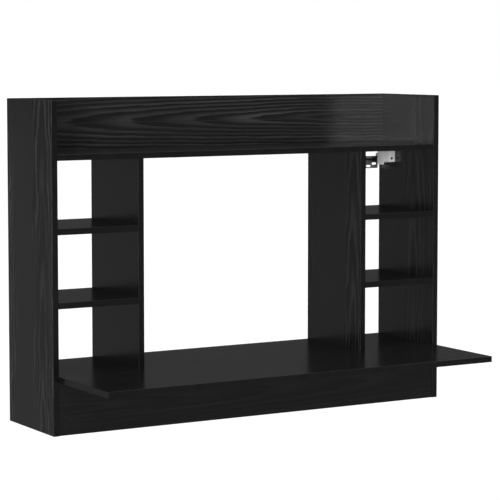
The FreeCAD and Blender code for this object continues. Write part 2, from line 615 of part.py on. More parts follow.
def middle_boards():
    """Boards that cross the desk's middle plane, before their joinery holes are cut."""
    return {
        "top_shelf": top_shelf(),
        "upper_back_rail": upper_back_rail(),
        "tabletop": tabletop(),
        "front_apron": front_apron(),
    }


def build():
    """Every node of the desk, by name."""
    joints = left_joints()
    holes = {}
    for joint in joints:
        for board, hole in joint_bores(joint):
            holes.setdefault(board, []).append(hole)
    holes["left_side_panel"].extend(hanger_bores())

    nodes = {}
    for name, board in middle_boards().items():
        left_holes = holes[name]
        nodes[name] = board.cut(left_holes + [mirrored(hole) for hole in left_holes])
    for name, piece in left_pieces().items():
        left_name = "left_" + name
        if left_name in holes:
            piece = piece.cut(holes[left_name])
        nodes[left_name] = piece
        nodes["right_" + name] = mirrored(piece)
    for name, solids in joinery(joints).items():
        nodes[name] = Part.makeCompound(solids + [mirrored(solid) for solid in solids])
    return nodes


def main():
    """Writes each node's solid to its own file."""
    os.makedirs("parts", exist_ok=True)
    for name, shape in build().items():
        shape.exportStep(f"parts/{name}.step")
        print(name, len(shape.Solids), round(shape.Volume), shape.isValid())


main()
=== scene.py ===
"""Looks of a wall-mounted desk: black oak boards, cam fittings, two hangers and a plain studio."""

import logging
import math
from dataclasses import dataclass
from enum import Enum
from functools import partial, reduce
from typing import Optional, Union

import bmesh
import bpy
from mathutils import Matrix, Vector


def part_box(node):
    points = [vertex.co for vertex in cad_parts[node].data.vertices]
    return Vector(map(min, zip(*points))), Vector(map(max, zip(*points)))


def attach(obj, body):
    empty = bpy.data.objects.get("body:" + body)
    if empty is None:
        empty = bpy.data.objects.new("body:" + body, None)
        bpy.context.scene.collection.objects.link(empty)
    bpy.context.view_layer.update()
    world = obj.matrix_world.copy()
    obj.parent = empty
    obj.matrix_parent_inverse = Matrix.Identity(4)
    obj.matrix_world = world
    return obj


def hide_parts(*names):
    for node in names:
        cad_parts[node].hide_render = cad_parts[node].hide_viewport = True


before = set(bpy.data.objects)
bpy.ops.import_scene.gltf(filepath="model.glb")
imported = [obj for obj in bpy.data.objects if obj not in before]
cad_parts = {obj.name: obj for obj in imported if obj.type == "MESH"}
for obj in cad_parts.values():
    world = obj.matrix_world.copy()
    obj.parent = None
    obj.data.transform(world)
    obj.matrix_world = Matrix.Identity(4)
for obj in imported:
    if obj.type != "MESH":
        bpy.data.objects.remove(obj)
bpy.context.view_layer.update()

LOG = logging.getLogger("desk")
MM = 0.001

Colour = tuple[float, float, float, float]
Span = tuple[float, float]
Socket = bpy.types.NodeSocket
Value = Union[float, Socket]
Feed = Union[Value, Colour, str, bpy.types.Material]
Inputs = dict[Union[int, str], Feed]

WHITE: Colour = (1.0, 1.0, 1.0, 1.0)


def grey(level: float, blue: float = 0.0) -> Colour:
    """A grey, with a little more blue where that is given."""
    return level, level, level + blue, 1.0


class Axis(Enum):
    """A direction of the desk's frame."""

    X = 0
    Y = 1
    Z = 2


class Edge(Enum):
    """An edge of a board's face that carries an edge band."""

    ALONG_LOW = "lower end of the grain"
    ALONG_HIGH = "upper end of the grain"
    ACROSS_LOW = "lower side"
    ACROSS_HIGH = "upper side"


class Side(Enum):
    """A side of the desk, with the sign of its X."""

    LEFT = -1
    RIGHT = 1

    @property
    def word(self) -> str:
        """The side's name as nodes and bodies spell it."""
        return self.name.lower()


# Node trees

class Graph:
    """Short calls for building a node tree."""

    def __init__(self, tree: bpy.types.NodeTree) -> None:
        """Takes the tree to build in."""
        self.tree = tree

    def node(self, kind: str, inputs: Optional[Inputs] = None, **settings: object) -> bpy.types.Node:
        """Adds a node.

        Args:
            kind: The node's type.
            inputs: What its inputs get, by name or number.
            settings: Properties to set on it.

        Returns:
            The new node.
        """
        node = self.tree.nodes.new(kind)
        for name, value in settings.items():
            setattr(node, name, value)
        for key, value in (inputs or {}).items():
            self.feed(node.inputs[key], value)
        return node

    def feed(self, socket: Socket, value: Feed) -> None:
        """Links a socket to its source, or sets its constant.

        Args:
            socket: The input.
            value: Another node's output, or a constant.
        """
        if isinstance(value, Socket):
            self.tree.links.new(value, socket)
        else:
            socket.default_value = value

    def math(self, operation: str, *values: Value) -> Socket:
        """The result of a Math node."""
        return self.node("ShaderNodeMath", dict(enumerate(values)), operation=operation).outputs[0]

    def total(self, *values: Value) -> Value:
        """Adds up sockets and numbers."""
        return reduce(partial(self.math, "ADD"), values)

    def product(self, *values: Value) -> Value:
        """Multiplies sockets and numbers."""
        return reduce(partial(self.math, "MULTIPLY"), values)

    def weighted(self, *pairs: tuple[Value, float]) -> Value:
        """Adds up values, each times its weight."""
        return self.total(*(self.product(value, weight) for value, weight in pairs))

    def rest(self, value: Value) -> Socket:
        """What is missing from a value to 1."""
        return self.math("SUBTRACT", 1.0, value)

    def step(self, value: Value, span: Span, start: float = 0.0, end: float = 1.0) -> Socket:
        """Adds a smooth step.

        Args:
            value: What is mapped.
            span: Where the step begins and ends.
            start: The result before the step.
            end: The result after it.

        Returns:
            The result's socket.
        """
        inputs = {"Value": value, "From Min": span[0], "From Max": span[1], "To Min": start, "To Max": end}
        node = self.node("ShaderNodeMapRange", inputs, interpolation_type="SMOOTHSTEP")
        return node.outputs["Result"]

    def vector(self, *values: Value) -> Socket:
        """Joins three values into a vector."""
        return self.node("ShaderNodeCombineXYZ", dict(enumerate(values))).outputs[0]

    def split(self, vector: Socket) -> list[Socket]:
        """The three values of a vector."""
        return list(self.node("ShaderNodeSeparateXYZ", {0: vector}).outputs)

    def scaled(self, vector: Socket, factor: float) -> Socket:
        """A vector times a factor."""
        return self.node("ShaderNodeVectorMath", {0: vector, "Scale": factor}, operation="SCALE").outputs[0]

    def noise(self, vector: Socket, seed: Value, detail: float = 2.0, roughness: float = 0.5) -> Socket:
        """Adds a four-dimensional noise whose fourth coordinate is a seed.

        Args:
            vector: Where it is read, already scaled.
            seed: The fourth coordinate.
            detail: Octaves of finer noise.
            roughness: Weight of each finer octave.

        Returns:
            The noise, around one half.
        """
        inputs = {"Vector": vector, "W": seed, "Scale": 1.0, "Detail": detail, "Roughness": roughness}
        return self.node("ShaderNodeTexNoise", inputs, noise_dimensions="4D").outputs[0]

    def blend(self, factor: Value, first: Union[Colour, Socket], second: Union[Colour, Socket]) -> Socket:
        """Mixes two colours.

        Args:
            factor: Share of the second colour.
            first: The colour at 0.
            second: The colour at 1.

        Returns:
            The mixed colour's socket.
        """
        node = self.node("ShaderNodeMix", data_type="RGBA")
        sockets = {socket.identifier: socket for socket in node.inputs}
        self.feed(sockets["Factor_Float"], factor)
        self.feed(sockets["A_Color"], first)
        self.feed(sockets["B_Color"], second)
        return next(socket for socket in node.outputs if socket.identifier == "Result_Color")

    def emboss(self, shader: bpy.types.Node, relief: Value, strength: float, height: float) -> None:
        """Gives a shader a bump.

        Args:
            shader: The Principled node.
            relief: The surface, in parts of the height.
            strength: How much of the bump is used.
            height: The bump's height in metres.
        """
        bump = self.node("ShaderNodeBump", {"Strength": strength, "Distance": height, "Height": relief})
        self.feed(shader.inputs["Normal"], bump.outputs["Normal"])


def new_material(name: str) -> tuple[bpy.types.Material, Graph, bpy.types.Node]:
    """Starts a material.

    Args:
        name: The material's name.

    Returns:
        The material, its graph and its Principled node.
    """
    material = bpy.data.materials.new(name)
    material.use_nodes = True
    graph = Graph(material.node_tree)
    return material, graph, material.node_tree.nodes["Principled BSDF"]


def dress(obj: bpy.types.Object, material: bpy.types.Material) -> None:
    """Gives an object one material."""
    obj.data.materials.clear()
    obj.data.materials.append(material)


# Finishes

@dataclass(frozen=True)
class GrainNoise:
    """Noise drawn out along the grain: cells per metre along and across it, octaves and their weight."""

    along: Value
    across: Value
    detail: float = 2.0
    roughness: float = 0.5


class OakFigure:
    """Node group with the figure of an oak film: cathedral flames, straight streaks, fibres and pores.

    Flame and Streak lie around 0, and fade out in the plain zone. Fibre lies around 0 too, and Pore is 1
    in the short dark dashes of the open pores.
    """

    NAME = "oak_figure"
    INPUTS = ("Along", "Across", "Seed", "Flame Centre", "Flame Pith", "Flame Slope", "Ring Pitch", "Warp",
              "Warp Rate", "Plain Centre", "Plain Width")
    OUTPUTS = ("Flame", "Streak", "Fibre", "Pore")

    WOBBLE = GrainNoise(14.0, 70.0)
    FIBRES = GrainNoise(11.0, 800.0, detail=3.0, roughness=0.6)
    CLOUDS = GrainNoise(1.7, 7.0)
    STREAKS = GrainNoise(1.5, 120.0, detail=3.0, roughness=0.6)
    PORES = GrainNoise(50.0, 1500.0)

    PLAIN_STEEPNESS = 6.0
    WARP_ACROSS = 3.0
    WOBBLE_REACH = 4.0 * MM
    FRAY = 0.7
    RING_RISE = (0.0, 0.07)
    RING_FALL = (0.10, 0.75)
    RING_DRAW = (0.0, 1.0)
    WEAKEST_RING = 0.5
    RING_FIBRE = 1.8
    CLOUD_SPAN = (0.36, 0.60)
    WEAKEST_CLOUD = 0.6
    STREAK_SPAN = (0.48, 0.70)
    PORE_SPAN = (0.58, 0.68)
    FLAME_MEAN = 0.23
    STREAK_MEAN = 0.35

    def tree(self) -> bpy.types.NodeTree:
        """The group, built on its first use."""
        return bpy.data.node_groups.get(self.NAME) or self.build()

    def build(self) -> bpy.types.NodeTree:
        """Builds the group.

        Returns:
            The new node group.
        """
        tree = bpy.data.node_groups.new(self.NAME, "ShaderNodeTree")
        for name in self.INPUTS:
            tree.interface.new_socket(name, in_out="INPUT", socket_type="NodeSocketFloat")
        for name in self.OUTPUTS:
            tree.interface.new_socket(name, in_out="OUTPUT", socket_type="NodeSocketFloat")
        g = Graph(tree)
        source = g.node("NodeGroupInput")
        (along, across, seed, centre, pith, slope, pitch, warp, rate, plain_at,
         plain_width) = source.outputs[:len(self.INPUTS)]

        def field(noise: GrainNoise) -> Socket:
            """The noise on this board."""
            place = g.vector(g.product(along, noise.along), g.product(across, noise.across), 0.0)
            return g.noise(place, seed, noise.detail, noise.roughness)

        def centred(noise: GrainNoise) -> Socket:
            """The noise around 0."""
            return g.math("SUBTRACT", field(noise), 0.5)

        # No figure in the plain zone
        reach = g.math("DIVIDE", g.math("SUBTRACT", across, plain_at), plain_width)
        edge = g.math("POWER", g.math("ABSOLUTE", reach), self.PLAIN_STEEPNESS)
        figured = g.math("DIVIDE", edge, g.total(edge, 1.0))

        # Rings round the pith: each rises fast, fades slowly and has a strength of its own
        slow = g.product(centred(GrainNoise(rate, g.product(rate, self.WARP_ACROSS))), warp)
        fine = g.product(centred(self.WOBBLE), self.WOBBLE_REACH)
        offset = g.total(g.math("SUBTRACT", across, centre), slow, fine)
        depth = g.product(g.math("SUBTRACT", along, pith), slope)
        ring = g.math("SQRT", g.total(g.product(offset, offset), g.product(depth, depth)))
        fibre = centred(self.FIBRES)
        phase = g.total(g.math("DIVIDE", ring, pitch), g.product(fibre, self.FRAY))
        saw = g.math("FRACT", phase)
        number = g.node("ShaderNodeTexWhiteNoise", {"Vector": g.vector(g.math("FLOOR", phase), seed, 0.0)},
                        noise_dimensions="2D")
        strength = g.step(number.outputs["Value"], self.RING_DRAW, start=self.WEAKEST_RING)
        profile = g.product(g.step(saw, self.RING_RISE), g.step(saw, self.RING_FALL, start=1.0, end=0.0))
        cloud = g.step(field(self.CLOUDS), self.CLOUD_SPAN, start=self.WEAKEST_CLOUD)
        light = g.product(profile, strength, cloud, g.total(g.product(fibre, self.RING_FIBRE), 1.0))
        flame = g.product(figured, g.math("SUBTRACT", light, self.FLAME_MEAN))

        # Straight streaks and pores
        lines = g.step(field(self.STREAKS), self.STREAK_SPAN)
        streak = g.product(figured, g.math("SUBTRACT", lines, self.STREAK_MEAN))
        pore = g.step(field(self.PORES), self.PORE_SPAN)

        g.node("NodeGroupOutput", dict(zip(self.OUTPUTS, (flame, streak, fibre, pore))))
        return tree


@dataclass(frozen=True)
class Flame:
    """Cathedral flames in a board's film.

    centre lies across the grain and pith along it, in metres of the desk's frame. slope is how fast the
    rings open towards the pith, pitch the width of a ring, and warp and rate say how wavy the rings are.
    gain is their strength on the board's left, front or lower face, and far_gain on the opposite one.
    """

    centre: float
    pith: float
    slope: float = 0.046
    pitch: float = 9 * MM
    warp: float = 15 * MM
    rate: float = 2.4
    gain: float = 0.12
    far_gain: float = 0.12


@dataclass(frozen=True)
class PlainZone:
    """A strip along the grain with hardly any figure: its middle and half its width, across it."""

    centre: float = 0.0
    width: float = 1 * MM


@dataclass(frozen=True)
class OakLaminate:
    """Black oak laminate of one board, with the figure that its film shows.

    along and across are the grain's direction and the one across it in the board's face. ground is the
    film's mean tone and streak_gain the strength of its straight streaks.
    """

    node: str
    along: Axis
    across: Axis
    seed: float
    flame: Flame
    plain: PlainZone = PlainZone()
    ground: float = 0.05
    streak_gain: float = 0.05
    banded: tuple[Edge, ...] = ()

    DARK = (0.0036, 0.0033, 0.0033, 1.0)
    LIGHT = (0.085, 0.081, 0.080, 1.0)
    BAND_TONE = 0.012
    FIBRE_TONE = 0.08
    PORE_TONE = -0.08
    # Lighter colour on the rounded edges: a painted highlight
    ARRIS_TONE = 0.02

    ROUGHNESS = 0.215
    FIBRE_ROUGHNESS = 0.05
    RING_ROUGHNESS = -0.04
    PORE_ROUGHNESS = 0.05
    ARRIS_ROUGHNESS = 0.35

    RING_RELIEF = 0.5
    STREAK_RELIEF = 0.4
    FIBRE_RELIEF = 0.5
    PORE_RELIEF = -0.7
    SEAM_RELIEF = -1.5
    END_LOSS = 0.7
    BUMP = 0.3
    BUMP_HEIGHT = 0.05 * MM

    BAND = 1.0 * MM
    SEAM_SPAN = (0.06 * MM, 0.18 * MM)
    FACE_SPAN = (0.55, 0.85)
    ARRIS_SPAN = (0.80, 0.97)
    TURN_SPAN = (-0.5, 0.5)

    @property
    def thickness_axis(self) -> Axis:
        """The axis through the board's thickness."""
        return next(axis for axis in Axis if axis not in (self.along, self.across))

    def seam(self, g: Graph, place: list[Socket]) -> Value:
        """Mask of the hairline between the face's film and its edge bands.

        Args:
            g: The material's graph.
            place: The object coordinates.

        Returns:
            1 on the seam and 0 elsewhere.
        """
        low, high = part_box(self.node)
        lines = []
        for edge in self.banded:
            axis = self.along if edge in (Edge.ALONG_LOW, Edge.ALONG_HIGH) else self.across
            lower = edge in (Edge.ALONG_LOW, Edge.ACROSS_LOW)
            at = low[axis.value] + self.BAND if lower else high[axis.value] - self.BAND
            off = g.math("ABSOLUTE", g.math("SUBTRACT", place[axis.value], at))
            lines.append(g.step(off, self.SEAM_SPAN, start=1.0, end=0.0))
        return reduce(partial(g.math, "MAXIMUM"), lines) if lines else 0.0

    def material(self) -> bpy.types.Material:
        """Builds the board's material.

        Returns:
            The material.
        """
        material, g, shader = new_material("black_oak_" + self.node)
        coordinates = g.node("ShaderNodeTexCoord")
        place = g.split(coordinates.outputs["Object"])
        normal = g.split(coordinates.outputs["Normal"])
        facing = [g.math("ABSOLUTE", part) for part in normal]

        flame, plain = self.flame, self.plain
        values = (place[self.along.value], place[self.across.value], self.seed, flame.centre, flame.pith,
                  flame.slope, flame.pitch, flame.warp, flame.rate, plain.centre, plain.width)
        figure = g.node("ShaderNodeGroup", dict(enumerate(values)), node_tree=OakFigure().tree())
        rings, streak, fibre, pore = figure.outputs

        # Faces, ends, arrises and seams
        through = self.thickness_axis.value
        on_face = g.step(facing[through], self.FACE_SPAN)
        on_end = g.step(facing[self.along.value], self.FACE_SPAN)
        most = g.math("MAXIMUM", g.math("MAXIMUM", facing[0], facing[1]), facing[2])
        arris = g.step(most, self.ARRIS_SPAN, start=1.0, end=0.0)
        seam = self.seam(g, place)

        # Colour
        gain = g.step(normal[through], self.TURN_SPAN, flame.gain, flame.far_gain)
        film = g.total(g.product(rings, gain), g.product(streak, self.streak_gain), self.ground)
        grain = g.weighted((fibre, self.FIBRE_TONE), (pore, self.PORE_TONE))
        # The arris term lightens the rounded edges' colour: a painted highlight
        tone = g.total(g.product(film, on_face), g.product(g.rest(on_face), self.BAND_TONE), grain,
                       g.product(arris, self.ARRIS_TONE))
        tone = g.product(tone, g.rest(g.product(seam, on_face)))
        g.feed(shader.inputs["Base Color"], g.blend(tone, self.DARK, self.LIGHT))

        # Roughness and relief
        swing = g.weighted((fibre, self.FIBRE_ROUGHNESS), (g.product(rings, on_face), self.RING_ROUGHNESS),
                           (pore, self.PORE_ROUGHNESS), (arris, self.ARRIS_ROUGHNESS))
        g.feed(shader.inputs["Roughness"], g.total(swing, self.ROUGHNESS))
        height = g.weighted((rings, self.RING_RELIEF), (streak, self.STREAK_RELIEF),
                            (fibre, self.FIBRE_RELIEF), (pore, self.PORE_RELIEF), (seam, self.SEAM_RELIEF))
        relief = g.product(height, g.rest(g.product(on_end, self.END_LOSS)))
        g.emboss(shader, relief, self.BUMP, self.BUMP_HEIGHT)
        return material


@dataclass(frozen=True)
class MouldedPlastic:
    """Moulded plastic with a fine eroded texture and faint flow clouds."""

    name: str
    colour: Colour
    shade: Colour
    roughness: float
    seed: float = 0.0

    GRAIN = 2600.0
    CLOUDY = GRAIN / 45
    CLOUD_SEED = 3.0
    CLOUD_SPAN = (0.35, 0.7)
    CLOUD_SHARE = 0.6
    SPECKLE_SPAN = (0.2, 0.8)
    SPECKLE_SHARE = 0.3
    ROUGHNESS_SWING = 0.06
    BUMP = 0.25
    BUMP_HEIGHT = 0.03 * MM

    def material(self) -> bpy.types.Material:
        """Builds the plastic's material.

        Returns:
            The material.
        """
        material, g, shader = new_material(self.name)
        place = g.node("ShaderNodeTexCoord").outputs["Object"]
        speckle = g.noise(g.scaled(place, self.GRAIN), self.seed, roughness=0.6)
        cloud = g.noise(g.scaled(place, self.CLOUDY), self.seed + self.CLOUD_SEED, detail=3.0)
        clouds = g.step(cloud, self.CLOUD_SPAN)
        share = g.weighted((clouds, self.CLOUD_SHARE), (speckle, self.SPECKLE_SHARE))
        g.feed(shader.inputs["Base Color"], g.blend(share, self.colour, self.shade))
        least, most = self.roughness - self.ROUGHNESS_SWING, self.roughness + self.ROUGHNESS_SWING
        g.feed(shader.inputs["Roughness"], g.step(speckle, self.SPECKLE_SPAN, least, most))
        g.emboss(shader, speckle, self.BUMP, self.BUMP_HEIGHT)
        return material


@dataclass(frozen=True)
class PlatedSteel:
    """Plated steel with drawn lines along one axis and a cloudy plating."""

    name: str
    colour: Colour
    shade: Colour
    roughness: float = 0.36
    metallic: float = 1.0
    drawn: Axis = Axis.Y
    seed: float = 0.0

    FINE = 4200.0
    LONG = 90.0
    CLOUDY = 160.0
    CLOUD_SEED = 5.0
    CLOUD_SPAN = (0.3, 0.7)
    CLOUD_SHARE = 0.6
    LINE_SHARE = 0.4
    CLOUD_ROUGHNESS = 0.10
    LINE_ROUGHNESS = 0.16
    BUMP = 0.2
    BUMP_HEIGHT = 0.02 * MM

    def material(self) -> bpy.types.Material:
        """Builds the steel's material.

        Returns:
            The material.
        """
        material, g, shader = new_material(self.name)
        place = g.node("ShaderNodeTexCoord").outputs["Object"]
        scales = [self.LONG if axis is self.drawn else self.FINE for axis in Axis]
        drawn = g.vector(*map(g.product, g.split(place), scales))
        lines = g.noise(drawn, self.seed, detail=3.0, roughness=0.6)
        wide = g.scaled(place, self.CLOUDY)
        cloud = g.noise(wide, self.seed + self.CLOUD_SEED, detail=4.0, roughness=0.6)
        clouds = g.step(cloud, self.CLOUD_SPAN)
        share = g.weighted((clouds, self.CLOUD_SHARE), (lines, self.LINE_SHARE))
        g.feed(shader.inputs["Base Color"], g.blend(share, self.colour, self.shade))
        base = self.roughness - (self.LINE_ROUGHNESS + self.CLOUD_ROUGHNESS) / 2
        swing = g.weighted((lines, self.LINE_ROUGHNESS), (cloud, self.CLOUD_ROUGHNESS))
        g.feed(shader.inputs["Roughness"], g.total(swing, base))
        shader.inputs["Metallic"].default_value = self.metallic
        g.emboss(shader, lines, self.BUMP, self.BUMP_HEIGHT)
        return material


@dataclass(frozen=True)
class Beech:
    """Pale beech of the dowels, with short flecks."""

    name: str = "beech_dowel"
    colour: Colour = (0.55, 0.37, 0.22, 1.0)
    fleck: Colour = (0.36, 0.21, 0.11, 1.0)
    seed: float = 2.0

    FLECKY = 900.0
    FLECK_SPAN = (0.45, 0.7)
    ROUGH_SPAN = (0.2, 0.8)
    ROUGHNESS = (0.55, 0.7)

    def material(self) -> bpy.types.Material:
        """Builds the beech material.

        Returns:
            The material.
        """
        material, g, shader = new_material(self.name)
        place = g.node("ShaderNodeTexCoord").outputs["Object"]
        flecks = g.noise(g.scaled(place, self.FLECKY), self.seed, detail=3.0, roughness=0.6)
        share = g.step(flecks, self.FLECK_SPAN)
        g.feed(shader.inputs["Base Color"], g.blend(share, self.colour, self.fleck))
        g.feed(shader.inputs["Roughness"], g.step(flecks, self.ROUGH_SPAN, *self.ROUGHNESS))
        return material


# Geometry Nodes

class FittingTree:
    """A Geometry Nodes tree that sets one fitting on every seat of a point mesh."""

    ROUND_STEPS = 40
    WELD = 0.002 * MM

    def __init__(self, name: str) -> None:
        """Starts the tree and its interface.

        Args:
            name: The tree's name.
        """
        self.tree = bpy.data.node_groups.new(name, "GeometryNodeTree")
        self.g = Graph(self.tree)
        self.tree.interface.new_socket("Seats", in_out="INPUT", socket_type="NodeSocketGeometry")
        self.tree.interface.new_socket("Fittings", in_out="OUTPUT", socket_type="NodeSocketGeometry")
        self.keys: dict[str, str] = {}

    def size(self, name: str) -> None:
        """Adds a named size to the tree's inputs."""
        socket = self.tree.interface.new_socket(name, in_out="INPUT", socket_type="NodeSocketFloat")
        self.keys[name] = socket.identifier

    def turned(self, segments: int, rows: int) -> tuple[Socket, Socket, Socket]:
        """Starts a turned surface from a grid.

        Args:
            segments: Steps round the axis.
            rows: Steps along the profile.

        Returns:
            The grid's mesh, the share of a turn and the share of the profile.
        """
        grid = self.g.node("GeometryNodeMeshGrid", {"Size X": 1.0, "Size Y": 1.0,
                                                    "Vertices X": segments + 1, "Vertices Y": rows + 1})
        x, y, _ = self.g.split(self.g.node("GeometryNodeInputPosition").outputs[0])
        return grid.outputs["Mesh"], self.g.math("ADD", x, 0.5), self.g.math("ADD", y, 0.5)

    def placed(self, mesh: Socket, turn: Socket, radius: Socket, level: Socket) -> Socket:
        """Wraps a grid round the Z axis and closes its seam and ends.

        Args:
            mesh: The grid.
            turn: Share of a turn at each point.
            radius: Distance from the axis.
            level: Height along the axis.

        Returns:
            The closed surface.
        """
        g = self.g
        angle = g.product(turn, 2 * math.pi)
        x = g.product(radius, g.math("COSINE", angle))
        y = g.product(radius, g.math("SINE", angle))
        moved = g.node("GeometryNodeSetPosition", {"Geometry": mesh, "Position": g.vector(x, y, level)})
        merged = g.node("GeometryNodeMergeByDistance", {"Geometry": moved.outputs["Geometry"],
                                                        "Distance": self.WELD})
        return merged.outputs["Geometry"]

    def rounded_disc(self, radius: Value, height: Value, squareness: float, rows: int) -> Socket:
        """A disc with rounded rims, standing on the seat plane.

        Args:
            radius: Radius of the disc.
            height: Height of the disc.
            squareness: 2 is an ellipsoid, and more is nearer to a flat disc.
            rows: Steps along the profile.

        Returns:
            The disc's mesh.
        """
        g = self.g
        mesh, turn, share = self.turned(self.ROUND_STEPS, rows)
        angle = g.product(share, math.pi)
        power = 2 / squareness
        wide = g.math("POWER", g.math("ABSOLUTE", g.math("SINE", angle)), power)
        cosine = g.math("COSINE", angle)
        tall = g.product(g.math("SIGN", cosine), g.math("POWER", g.math("ABSOLUTE", cosine), power))
        level = g.product(height, 0.5, g.rest(tall))
        return self.placed(mesh, turn, g.product(radius, wide), level)

    def finish(self, fitting: Socket, source: bpy.types.Node, material: bpy.types.Material) -> None:
        """Sets the fitting on every seat, realizes it and gives it its material.

        Args:
            fitting: The mesh, standing on the seat with its outside along +Z.
            source: The group's input node.
            material: The fitting's material.
        """
        g = self.g
        outward = g.node("GeometryNodeInputNamedAttribute", {"Name": "outward"}, data_type="FLOAT_VECTOR")
        aligned = g.node("FunctionNodeAlignRotationToVector", {"Vector": outward.outputs[0]}, axis="Z")
        spread = g.node("GeometryNodeInstanceOnPoints", {"Points": source.outputs["Seats"],
                                                         "Instance": fitting,
                                                         "Rotation": aligned.outputs[0]})
        real = g.node("GeometryNodeRealizeInstances", {"Geometry": spread.outputs["Instances"]})
        coat = g.node("GeometryNodeSetMaterial", {"Geometry": real.outputs["Geometry"],
                                                  "Material": material})
        g.node("NodeGroupOutput", {"Fittings": coat.outputs["Geometry"]})


@dataclass(frozen=True)
class Seat:
    """Where a fitting stands: a point on its board and the direction out of it."""

    point: Vector
    outward: Vector


def set_fittings(name: str, fitting: FittingTree, seats: list[Seat], sizes: dict[str, float],
                 sharp: float) -> bpy.types.Object:
    """Runs a fitting tree on its seats and keeps the result as a plain mesh.

    Args:
        name: The piece's name.
        fitting: The tree.
        seats: Where the fittings stand.
        sizes: The tree's named sizes in metres.
        sharp: Edges bent by more than this many degrees stay crisp.

    Returns:
        The finished object.
    """
    mesh = bpy.data.meshes.new(name)
    mesh.from_pydata([seat.point for seat in seats], [], [])
    attribute = mesh.attributes.new("outward", "FLOAT_VECTOR", "POINT")
    for item, seat in zip(attribute.data, seats):
        item.vector = seat.outward
    piece = bpy.data.objects.new(name, mesh)
    bpy.context.scene.collection.objects.link(piece)
    modifier = piece.modifiers.new("fittings", "NODES")
    modifier.node_group = fitting.tree
    for size, value in sizes.items():
        modifier[fitting.keys[size]] = value
    made = bpy.data.meshes.new_from_object(piece.evaluated_get(bpy.context.evaluated_depsgraph_get()))
    piece.modifiers.clear()
    piece.data = made
    bpy.data.meshes.remove(mesh)
    made.name = name
    made.shade_smooth()
    made.set_sharp_from_angle(angle=math.radians(sharp))
    LOG.info("%s: %d fittings, %d faces", name, len(seats), len(made.polygons))
    return piece


# Boards

@dataclass
class Carcass:
    """The desk's boards, each with its own cut of the black oak film."""

    panel_edges: tuple[Edge, ...] = tuple(Edge)
    front_edge: tuple[Edge, ...] = (Edge.ACROSS_LOW,)
    upper_edge: tuple[Edge, ...] = (Edge.ACROSS_HIGH,)
    lower_edge: tuple[Edge, ...] = (Edge.ACROSS_LOW,)

    def finishes(self) -> list[OakLaminate]:
        """The finish of every board.

        Returns:
            One finish for each board's node.
        """
        x, y, z = Axis.X, Axis.Y, Axis.Z
        front, panel = self.front_edge, self.panel_edges
        return [
            OakLaminate("left_side_panel", z, y, seed=1.3,
                        flame=Flame(centre=-0.215, pith=-0.95, slope=0.05, pitch=13 * MM, warp=50 * MM,
                                    rate=7.0, gain=0.86, far_gain=0.24),
                        plain=PlainZone(-0.105, 0.06), ground=0.062, streak_gain=0.06, banded=panel),
            OakLaminate("right_side_panel", z, y, seed=4.1,
                        flame=Flame(centre=-0.175, pith=-0.90, slope=0.05, pitch=14 * MM, warp=45 * MM,
                                    rate=6.0, gain=0.20, far_gain=0.60),
                        plain=PlainZone(-0.07, 0.06), ground=0.105, streak_gain=0.11, banded=panel),
            OakLaminate("left_divider", z, y, seed=7.7,
                        flame=Flame(centre=-0.30, pith=-0.80, slope=0.03, pitch=15 * MM, warp=30 * MM,
                                    rate=4.0, gain=0.10, far_gain=0.35),
                        plain=PlainZone(-0.12, 0.12), ground=0.038, streak_gain=0.08, banded=front),
            OakLaminate("right_divider", z, y, seed=9.2,
                        flame=Flame(centre=-0.235, pith=-0.90, slope=0.06, pitch=12 * MM, warp=50 * MM,
                                    rate=7.0, gain=0.32, far_gain=0.20),
                        plain=PlainZone(-0.12, 0.075), ground=0.065, streak_gain=0.10, banded=front),
            OakLaminate("upper_back_rail", x, z, seed=15.1,
                        flame=Flame(centre=0.003, pith=0.524, slope=0.0474, warp=12 * MM, gain=0.50,
                                    far_gain=0.40),
                        ground=0.184, banded=self.upper_edge),
            OakLaminate("front_apron", x, z, seed=21.4,
                        flame=Flame(centre=-0.72, pith=-0.75, slope=0.04, pitch=11 * MM, gain=0.05),
                        ground=0.058, streak_gain=0.03, banded=self.lower_edge),
            OakLaminate("top_shelf", x, y, seed=12.5, flame=Flame(-0.14, 0.7), banded=front),
            OakLaminate("tabletop", x, y, seed=18.6, flame=Flame(-0.30, 0.6), banded=panel),
            OakLaminate("left_upper_shelf", x, y, seed=24.8, flame=Flame(-0.16, -0.2), banded=front),
            OakLaminate("left_lower_shelf", x, y, seed=27.3, flame=Flame(-0.10, -0.3), banded=front),
            OakLaminate("right_upper_shelf", x, y, seed=30.9, flame=Flame(-0.12, 0.8), banded=front),
            OakLaminate("right_lower_shelf", x, y, seed=33.2, flame=Flame(-0.18, 0.9), banded=front),
        ]

    def dress(self) -> None:
        """Gives every board its material."""
        for finish in self.finishes():
            dress(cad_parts[finish.node], finish.material())
            LOG.info("%s: black oak, grain along %s", finish.node, finish.along.name)


# Cam fittings

